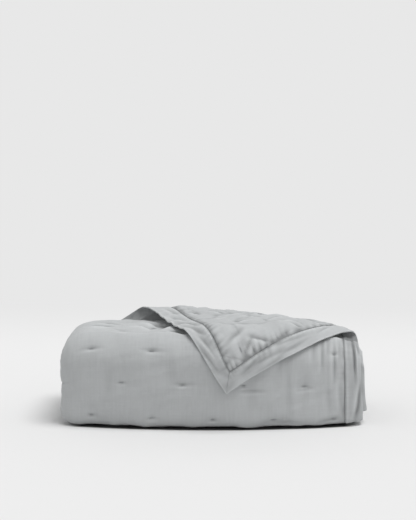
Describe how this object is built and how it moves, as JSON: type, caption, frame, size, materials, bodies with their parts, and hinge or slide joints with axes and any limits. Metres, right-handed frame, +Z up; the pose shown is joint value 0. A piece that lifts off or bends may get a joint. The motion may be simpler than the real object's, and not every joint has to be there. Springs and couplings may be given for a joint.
{
  "type": "folded toddler quilt",
  "caption": "Tufted quilt with a flat mitred border, folded into a pile with one corner of its top leaf turned back over the front.",
  "frame": {"origin": "middle of the bounding box in plan, on the surface that the pile lies on", "axes": "+X along the pile towards its open edges, -Y out of the smooth folded front, +Z up"},
  "size_m": [0.481, 0.2684, 0.1686],
  "materials": {
    "quilt_cloth": "matt washed woven cloth, quilted over a soft filling and tied with small bar tacks",
    "border_cloth": "matt washed woven cloth, doubled and flat, with a pressed edge"
  },
  "bodies": {
    "root": {"quilted_field": "quilt_cloth", "border_outer_side": "border_cloth", "border_top_end": "border_cloth", "border_inner_side": "border_cloth", "border_inner_end": "border_cloth"}
  },
  "joints": []
}
